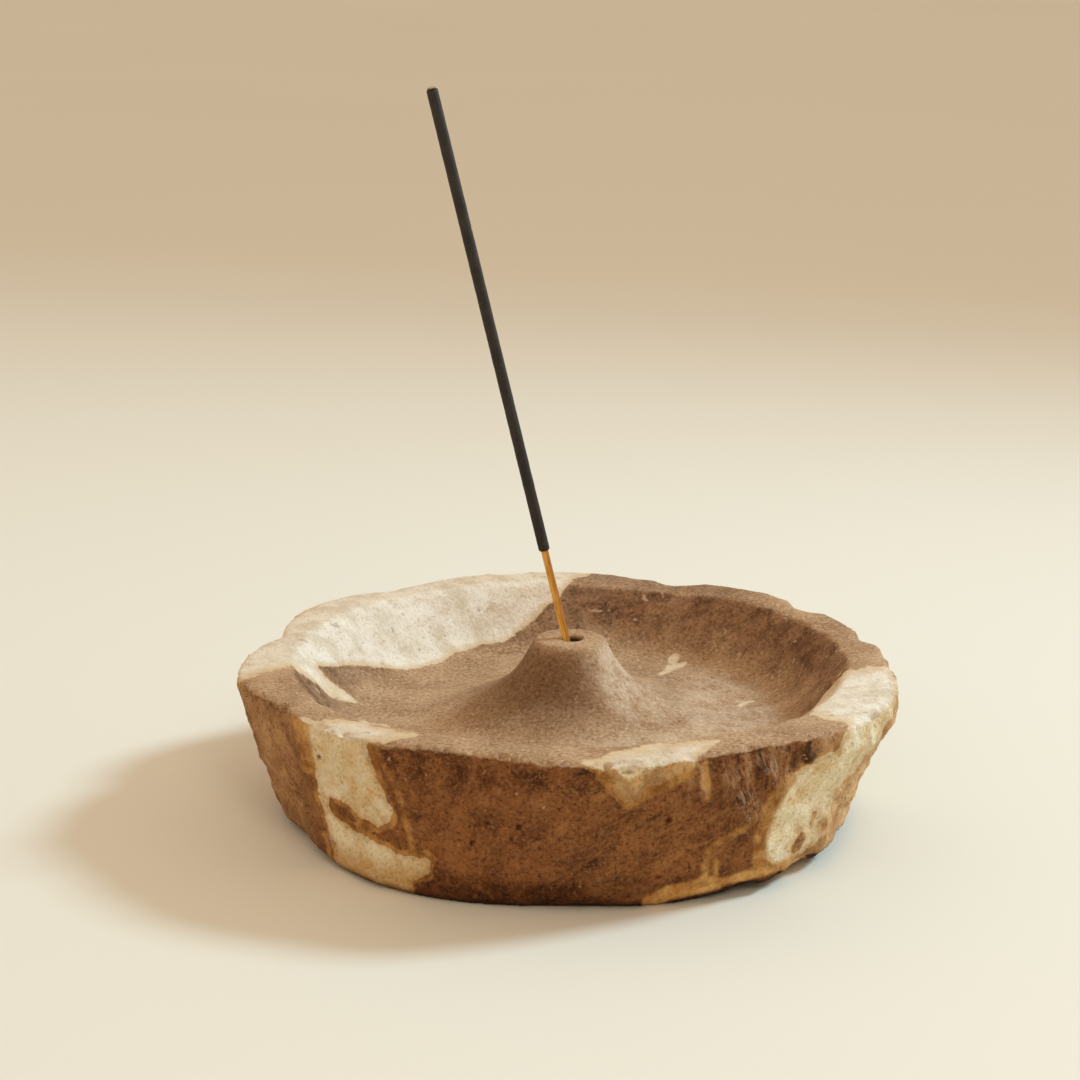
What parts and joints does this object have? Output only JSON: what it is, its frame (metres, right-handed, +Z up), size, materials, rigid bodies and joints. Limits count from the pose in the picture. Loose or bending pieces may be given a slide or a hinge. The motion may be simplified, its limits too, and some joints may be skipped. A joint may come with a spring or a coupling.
{
  "type": "incense stick holder",
  "caption": "Round dish turned in a rough-edged block of veined stone, with a drilled cone in the middle that holds a leaning incense stick over the dish.",
  "frame": {"origin": "on the base plane, straight under the middle of the cone's top", "axes": "+Z up along the hole, +X to the right and +Y to the back; the stick leans towards -X"},
  "size_m": [0.1272, 0.1287, 0.1394],
  "materials": {
    "stone": "matte",
    "bamboo": "satin",
    "paste": "matte",
    "ash": "matte"
  },
  "bodies": {
    "bowl": {"stone_bowl": "stone"},
    "stick": {"bamboo_core": "bamboo", "incense_paste": "paste", "ash_tip": "ash"}
  },
  "joints": [
    {"name": "stick_lift", "type": "slide", "parent": "bowl", "child": "stick", "axis": [-0.2305, 0, 0.9731], "range_m": [0, 0.03]}
  ]
}
